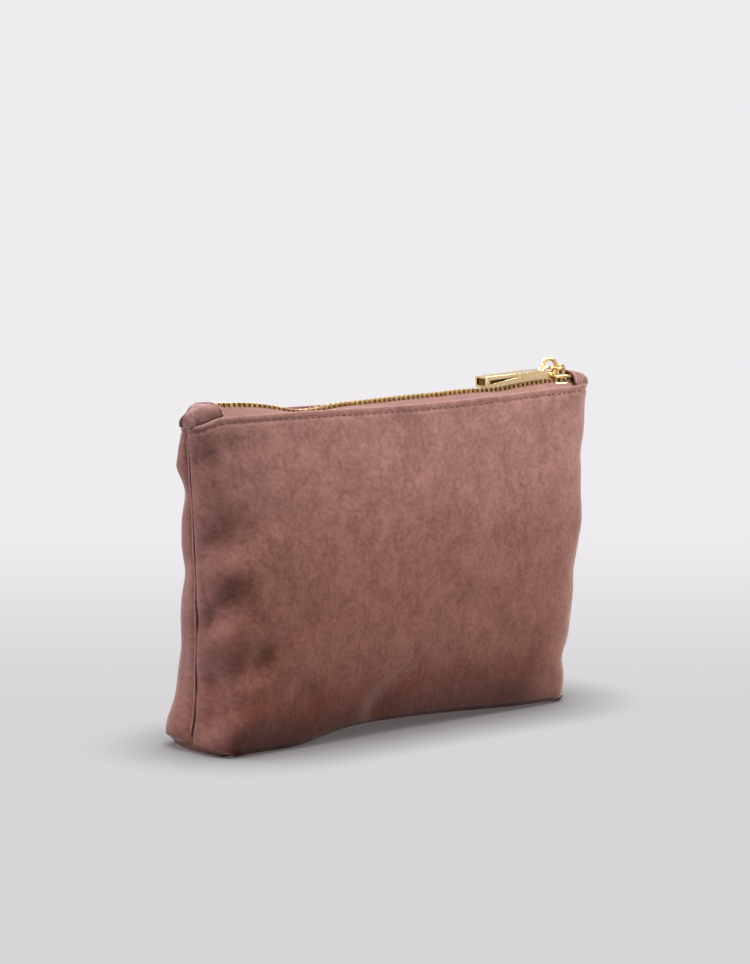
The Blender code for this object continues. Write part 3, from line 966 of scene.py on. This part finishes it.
for wall_name, side in WALLS:
    tape = grid_object(f"{wall_name}_tape", tape_rows(side), mats["tape"], TAPE_THICK, flip=side > 0)
    halves(tape, f"{wall_name}_tape", wall_name, "zip_tape", f"zipper_tape_{wall_name}")
    for label, sign in ENDS:
        teeth = teeth_object(f"{wall_name}_teeth_{label}", side, sign)
        bend_with(teeth, wall_name, sign, "brass", f"teeth_row_{wall_name}")
        ends = (TEETH_FROM - 0.002, TEETH_TO + 0.004)
        stop = ends[0] if sign < 0 else ends[1]
        line = [stop * i / 60 for i in range(61)]
        path = [Vector((x, zip_side(x) + side * (parting(x) + 0.0018), zip_line(x))) for x in line]
        edge = cord_object(f"{wall_name}_zip_cord_{label}", path, ZIP_CORD, mats["cord"], 8)
        bend_with(edge, wall_name, sign, "zip_tape")
        thread = stitches(f"{wall_name}_topstitch_{label}", wall_name, sign)
        bend_with(thread, wall_name, sign, "suede")


# --- end tabs ---
TAB_THICK = 0.0009
TAB_RIM = 0.00052
TAB_ROWS = 28
TAB_COLUMNS = 32
TABS = {
    "left": dict(end=-1, inner_x=0.0900, top=0.1323, reach=0.0999, skew=0.006, dimple=(0.099, 0.76, 0.0017)),
    "right": dict(end=1, inner_x=0.0905, top=0.1328, reach=0.0996, skew=0.0, dimple=(0.093, 0.20, 0.0016)),
}


def tab_rows(end, inner_x, top, reach, skew, dimple):
    """A folded strip over one end of the zip: a low roof tucked behind the lips, rolled down at its end.

    A dimple is (distance from the middle of the bag, share of the way across, depth).
    """
    rows = []
    for i in range(TAB_ROWS + 1):
        turn = math.pi / 2 * i / TAB_ROWS
        share, fall = math.sin(turn) ** 0.86, math.cos(turn) ** 0.86
        row = []
        for j in range(TAB_COLUMNS + 1):
            around = math.pi * (j / TAB_COLUMNS - 0.5)
            t = 0.5 + 0.5 * math.copysign(abs(math.sin(around)) ** 0.55, math.sin(around))
            start = inner_x + skew * (t - 0.4)
            x = start + (reach - start) * share
            at = end * min(x, MOUTH_HALF - 0.0030)
            foot = lip_inner(at, -1).lerp(lip_inner(at, 1), t)
            crown = max(math.cos(around), 0.0) ** 0.62
            rise = (top - foot.z) * crown * fall
            roll = 0.0013 * math.sin(math.pi * fall) * smooth((share - 0.55) / 0.4) * crown
            hollow = dimple[2] * bump(x, dimple[0], 0.0018) * bump(t, dimple[1], 0.14)
            ruffle = 0.0004 * noise.noise(Vector((x * 240, t * 3.0, end)))
            row.append(Vector((end * (x + roll - hollow), foot.y, foot.z + rise - hollow + ruffle)))
        rows.append(row)
    return rows


def tab_object(name, end, **shape):
    rows = tab_rows(end, **shape)
    made = grid_object(name, rows, mats["tab"], TAB_THICK, flip=end > 0)
    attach(baked(made), "base")
    # The rim's lighter suede is partly wear and partly a painted sheen highlight.
    rim = cord_object(f"{name}_rim", rows[0][1:-1], TAB_RIM, mats["edge"], 8)
    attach(rim, "base")
    return made


for label, shape in TABS.items():
    tab = tab_object(f"end_tab_{label}", **shape)
    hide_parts(f"zip_end_tab_{label}")


# --- metal ---
def smooth_metal(made, angle=35):
    made.data.shade_smooth()
    made.data.set_sharp_from_angle(angle=math.radians(angle))
    return made


def rounded(made, width, segments, angle):
    """Rounds the edges that turn by more than an angle in degrees."""
    soft = made.modifiers.new("edges", "BEVEL")
    soft.width = width
    soft.segments = segments
    soft.limit_method = "ANGLE"
    soft.angle_limit = math.radians(angle)


def torus_object(name, centre_at, radius, wire, mat, upright, twist=0.0):
    """A plain metal ring, lying flat or standing along the zip."""
    verts, faces = [], []
    around, sides = 72, 20
    for i in range(around):
        turn = 2 * math.pi * i / around
        for j in range(sides):
            roll = 2 * math.pi * j / sides
            out = radius + wire * math.cos(roll)
            a, b, c = out * math.cos(turn), out * math.sin(turn), wire * math.sin(roll)
            offset = Vector((a, -c, b)) if upright else Vector((a, b, c))
            verts.append(Vector(centre_at) + Matrix.Rotation(twist, 3, "Z") @ offset)
            k, n = (j + 1) % sides, (i + 1) % around
            faces.append((i * sides + j, n * sides + j, n * sides + k, i * sides + k))
    return new_object(name, verts, faces, mat)


def box_object(name, corners, *choices):
    """A six-sided solid through eight corners. With two materials, all its faces carry the second."""
    faces = [(0, 1, 2, 3), (7, 6, 5, 4), (0, 4, 5, 1), (1, 5, 6, 2), (2, 6, 7, 3), (3, 7, 4, 0)]
    made = new_object(name, corners, faces, choices[0])
    for extra in choices[1:]:
        made.data.materials.append(extra)
        for poly in made.data.polygons:
            poly.material_index = 1
    bm = bmesh.new()
    bm.from_mesh(made.data)
    bmesh.ops.recalc_face_normals(bm, faces=bm.faces)
    bm.to_mesh(made.data)
    bm.free()
    return made


def cut(made, cutter):
    step = made.modifiers.new("cut", "BOOLEAN")
    step.operation = "DIFFERENCE"
    step.solver = "EXACT"
    step.object = cutter
    baked(made)
    bpy.data.objects.remove(cutter, do_unlink=True)


EYE_TUBE = 0.0008
EYE_RADIUS = 0.0030
EYE_TWIST = math.radians(14)
EYE_X = BAR_HIGH[0] - EYE_RADIUS * math.cos(EYE_TWIST) - EYE_TUBE
EYE_Z = BAR_HIGH[2] - EYE_RADIUS - EYE_TUBE - 0.0008
EYE_AT = (EYE_X, MOUTH_Y, EYE_Z)
LINK_WIRE = (LINK_HIGH[2] - LINK_LOW[2]) / 2
LINK_RADIUS = (LINK_HIGH[0] - LINK_LOW[0]) / 2 - LINK_WIRE
LINK_AT = ((LINK_HIGH[0] + LINK_LOW[0]) / 2, MOUTH_Y, (LINK_HIGH[2] + LINK_LOW[2]) / 2)
BAR_END_LOW, BAR_END_TOP = ZIP_Z - 0.0001, ZIP_Z + 0.0044
BAR_EYE_LOW, BAR_EYE_TOP = ZIP_Z + 0.0018, ZIP_Z + 0.0050
BAR_HALF = 0.0034
BAR_WALL = 0.0009
BAR_EYE_X = BAR_LOW[0] + 0.0315
SLOT_DEPTH = 0.0014
PLATE_HALVES = (0.0036, 0.0046)
POST_HALF = 0.0006
PLATE_BEVEL = 0.0012


def span(middle, half):
    return middle - half, middle + half


def wedge(x, y, low, top):
    """Corners of a bar from x[0] to x[1], whose low and top faces slope between their two heights."""
    return [(x[i], y[j], z[i]) for z in (low, top) for i, j in ((0, 0), (1, 0), (1, 1), (0, 1))]


def slot_cutter(*ranges):
    # Faces cut by the slots take the dark gold: painted shade inside them.
    return box_object("cutter", wedge(*ranges), mats["gold"], mats["recess_painted_shade"])


def pull_bar():
    """A polished bar that thins towards its eye, slotted along both sides and hollow at its free end."""
    left, right = BAR_LOW[0] - 0.0015, BAR_EYE_X
    y0, y1 = span(MOUTH_Y, BAR_HALF)
    body = wedge((left, right), (y0, y1), (BAR_END_LOW, BAR_EYE_LOW), (BAR_END_TOP, BAR_EYE_TOP))
    bar = box_object("pull_bar_body", body, mats["gold"])
    # Second material: painted shade for the cut faces.
    bar.data.materials.append(mats["recess_painted_shade"])
    low, top = BAR_END_LOW + BAR_WALL, BAR_END_TOP - 1.6 * BAR_WALL
    slot = (left + 0.0018, left + 0.0165)
    waist = BAR_EYE_LOW + 0.0014
    for near, far in ((y0 - 0.001, y0 + SLOT_DEPTH), (y1 - SLOT_DEPTH, y1 + 0.001)):
        cut(bar, slot_cutter(slot, (near, far), (low + 0.0005, waist), (top - 0.0002, waist + 0.0002)))
    mouth_top = top + 0.6 * BAR_WALL
    inner = (y0 + BAR_WALL, y1 - BAR_WALL)
    cut(bar, slot_cutter((left - 0.001, left + 0.0010), inner, (low, low), (mouth_top, mouth_top)))
    rounded(bar, 0.00028, 3, 40)
    return smooth_metal(baked(bar))


def pull_lug():
    """The small lug that joins the upright eye to the end of the bar."""
    left, right = EYE_X - 0.0052, EYE_X - 0.0021
    low, top = BAR_EYE_LOW + 0.0006, EYE_Z + 0.0003
    wide, narrow = 0.0014, 0.0009
    corners = [
        (left, MOUTH_Y - wide, low), (right, MOUTH_Y - narrow, low),
        (right, MOUTH_Y + narrow, low), (left, MOUTH_Y + wide, low),
        (left, MOUTH_Y - wide, BAR_EYE_TOP), (right, MOUTH_Y - narrow, top),
        (right, MOUTH_Y + narrow, top), (left, MOUTH_Y + wide, BAR_EYE_TOP),
    ]
    lug = box_object("pull_lug", corners, mats["gold"])
    rounded(lug, 0.0003, 3, 30)
    return smooth_metal(baked(lug), 50)


def bail():
    """The flat strap bridging the slider, bent over in an arch."""
    middle = (BAIL_LOW[0] + BAIL_HIGH[0]) / 2
    half = (BAIL_HIGH[0] - BAIL_LOW[0]) / 2 - 0.0004
    rise = BAIL_HIGH[2] - BAIL_LOW[2] - 0.0004
    path = []
    steps = 32
    for i in range(steps + 1):
        turn = math.pi * i / steps
        out = Vector((math.cos(turn) * half, 0, math.sin(turn) ** 0.6 * rise - 0.0004))
        path.append(Vector((middle, MOUTH_Y, BAIL_LOW[2])) + out)
    verts = []
    sides = 16
    for i, point in enumerate(path):
        ahead = (path[min(i + 1, steps)] - path[max(i - 1, 0)]).normalized()
        out = ahead.cross(Vector((0, 1, 0)))
        for j in range(sides):
            a = 2 * math.pi * j / sides
            flat_y = 0.00080 * math.copysign(abs(math.cos(a)) ** 0.5, math.cos(a))
            flat_o = 0.00040 * math.copysign(abs(math.sin(a)) ** 0.6, math.sin(a))
            verts.append(point + Vector((0, flat_y, 0)) + out * flat_o)
    return new_object("slider_bail_strap", verts, tube_faces(steps + 1, sides), mats["ring"])


def slider_plate(name, z0, z1, half_front, half_back):
    """A plate of the slider: straight-sided where the rows mesh, flared to two shoulders where they part."""
    outline = []
    for i in range(13):
        turn = math.pi / 2 + math.pi * i / 12
        outline.append((SLIDER_LOW[0] + 0.0016 + 0.0015 * math.cos(turn), half_front * math.sin(turn)))
    flare, nose = SLIDER_X + 0.0005, SLIDER_HIGH[0] - 0.0003
    notch, edge = nose - PLATE_BEVEL, half_back - PLATE_BEVEL
    outline += [(flare, -half_back), (notch, -half_back), (nose, -edge), (notch, 0.0)]
    outline += [(nose, edge), (notch, half_back), (flare, half_back)]
    count = len(outline)
    verts = [Vector((x, MOUTH_Y + y, z)) for z in (z0, z1) for x, y in outline]
    faces = [tuple(range(count))[::-1], tuple(range(count, 2 * count))]
    faces += tube_faces(2, count)
    made = new_object(name, verts, faces, mats["ring"])
    rounded(made, 0.0004, 4, 50)
    return smooth_metal(baked(made), 40)


bar = pull_bar()
eye = torus_object("pull_eye", EYE_AT, EYE_RADIUS, EYE_TUBE, mats["ring"], True, -EYE_TWIST)
link = torus_object("pull_link", LINK_AT, LINK_RADIUS, LINK_WIRE, mats["ring"], False)
strap = bail()
lug = pull_lug()
slider_foot, slider_top = SLIDER_LOW[2], SLIDER_HIGH[2]
plates = [
    slider_plate("slider_plate_top", slider_top - 0.0013, slider_top + 0.0001, *PLATE_HALVES),
    slider_plate("slider_plate_low", slider_foot + 0.0010, slider_foot + 0.0021, *PLATE_HALVES),
    slider_plate("slider_post", slider_foot + 0.0015, slider_top - 0.0008, POST_HALF, POST_HALF),
]
for plate in plates:
    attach(plate, "slider")
    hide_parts("slider_body")
for piece, body, nodes in (
    (bar, "pull", ["pull_bar"]),
    (eye, "pull", []),
    (lug, "pull", []),
    (link, "link", ["pull_link_ring"]),
    (strap, "slider", ["slider_bail"]),
):
    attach(piece, body)
    if nodes:
        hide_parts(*nodes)


def paint(node, mat):
    """Keeps a CAD part as it is, with a finer material and softened edges."""
    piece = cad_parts[node]
    for slot in piece.material_slots:
        slot.material = mat
    rounded(piece, 0.00022, 3, 40)


for node in ("top_stop_front", "top_stop_back"):
    paint(node, mats["gold"])

STOP_X = TEETH_FROM - 0.0022
stop_x, stop_y = span(STOP_X, 0.0008), span(zip_side(STOP_X), 0.0028)
stop_low, stop_top = span(zip_line(STOP_X), 0.0011)
stop_corners = wedge(stop_x, stop_y, (stop_low, stop_low), (stop_top, stop_top))
bottom_stop = box_object("bottom_stop_clip", stop_corners, mats["brass"])
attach(bottom_stop, "base")
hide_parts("bottom_stop")


# --- stage, lights and camera ---
BACKDROP = (0.863, 0.838, 0.863)
NEAR_FLOOR = (0.680, 0.660, 0.680)
CONTACT_SHADE = (0.10, 0.085, 0.085)
AWAY = (0.643, 0.766, 0.0)
# How strongly the floor's painted glow lights the bag: painted bounce light.
FLOOR_BOUNCE = 0.55


def make_floor():
    """Pale sweep that glows: painted darker under the bag and brightening behind it, with painted soft
    contact shadow.
    """
    bpy.ops.mesh.primitive_circle_add(vertices=96, radius=6.0, fill_type="NGON", location=(0, 0, 0))
    made = bpy.context.object
    made.name = "floor"
    s = Shader("floor_paper")
    s.tree.nodes.remove(s.main)
    where = s.node("ShaderNodeTexCoord").outputs["Object"]
    depth = s.node("ShaderNodeVectorMath", operation="DOT_PRODUCT")
    depth.inputs[1].default_value = AWAY
    s.link(where, depth.inputs[0])
    # The floor's glow: painted darker in front of and under the bag, brighter behind it.
    paper = s.mix(s.ease(depth.outputs["Value"], -0.02, 0.54), NEAR_FLOOR, BACKDROP)
    shade = s.openness(12, 0.036, 1.7)
    glow = s.node("ShaderNodeEmission")
    rays = s.node("ShaderNodeLightPath")
    seen = s.math("MAXIMUM", rays.outputs["Is Camera Ray"], rays.outputs["Is Glossy Ray"])
    s.link(s.math("MAXIMUM", seen, FLOOR_BOUNCE), glow.inputs["Strength"])
    s.link(s.mix(shade, CONTACT_SHADE, paper), glow.inputs["Color"])
    s.link(glow.outputs[0], s.tree.nodes["Material Output"].inputs["Surface"])
    made.data.materials.append(s.mat)


def mixed(tree, factor, first, second):
    """A shader that is the first where the factor is 0 and the second where it is 1."""
    made = tree.nodes.new("ShaderNodeMixShader")
    for source, socket in zip((factor, first.outputs[0], second.outputs[0]), made.inputs):
        tree.links.new(source, socket)
    return made


def make_world():
    """Bright paper to the camera, a little ambient light for the cloth and more to reflect in the metal."""
    world = bpy.data.worlds.new("studio")
    bpy.context.scene.world = world
    world.use_nodes = True
    tree = world.node_tree
    back = tree.nodes["Background"]
    back.inputs["Color"].default_value = (*BACKDROP, 1)
    levels = {"ambient": ((0.95, 0.96, 1.0, 1), 0.06), "reflected": ((1.0, 0.97, 0.93, 1), 0.75)}
    made = {}
    for name, (colour, strength) in levels.items():
        made[name] = tree.nodes.new("ShaderNodeBackground")
        made[name].inputs["Color"].default_value = colour
        made[name].inputs["Strength"].default_value = strength
    rays = tree.nodes.new("ShaderNodeLightPath")
    gloss = mixed(tree, rays.outputs["Is Glossy Ray"], made["ambient"], made["reflected"])
    both = mixed(tree, rays.outputs["Is Camera Ray"], gloss, back)
    tree.links.new(both.outputs[0], tree.nodes["World Output"].inputs["Surface"])


def area_light(name, place, aim, size, power, colour):
    data = bpy.data.lights.new(name, "AREA")
    data.shape = "RECTANGLE"
    data.size, data.size_y = size
    data.energy = power
    data.color = colour
    made = linked(name, data)
    made.location = place
    made.rotation_euler = (Vector(aim) - Vector(place)).to_track_quat("-Z", "Y").to_euler()


CAMERA_AZIMUTH, CAMERA_ELEVATION = math.radians(-40.0), math.radians(7.71)
CAMERA_DISTANCE = 1.281
CAMERA_TARGET = Vector((-0.0025, 0.0, 0.0948))
LENS = 123.7


def make_camera():
    data = bpy.data.cameras.new("camera")
    data.lens = LENS
    data.sensor_width = 36.0
    data.clip_start = 0.05
    made = linked("camera", data)
    back = Vector((
        math.sin(CAMERA_AZIMUTH) * math.cos(CAMERA_ELEVATION),
        -math.cos(CAMERA_AZIMUTH) * math.cos(CAMERA_ELEVATION),
        math.sin(CAMERA_ELEVATION),
    ))
    made.location = CAMERA_TARGET + back * CAMERA_DISTANCE
    made.rotation_euler = back.to_track_quat("Z", "Y").to_euler()
    bpy.context.scene.camera = made


make_floor()
make_world()
area_light("key", (0.34, -0.42, 0.66), (0, 0, 0.06), (0.45, 0.45), 12.9, (1.0, 0.985, 0.97))
area_light("high_left", (-0.10, 0.05, 0.80), (0, 0, 0.06), (0.5, 0.5), 4.0, (1.0, 0.99, 0.98))
area_light("left", (-1.0, 0.25, 0.5), (0, 0, 0.06), (0.6, 0.6), 14.5, (1.0, 1.0, 1.12))
area_light("behind", (0.42, 1.0, 0.42), (0, 0, 0.05), (0.6, 0.6), 6.5, (1.0, 0.99, 0.98))
area_light("low_front", (-0.05, -1.1, 0.10), (0, 0, 0.03), (0.8, 0.3), 3.4, (1.0, 0.84, 0.77))
make_camera()
bpy.context.scene.view_settings.view_transform = "Standard"
bpy.context.scene.view_settings.look = "None"
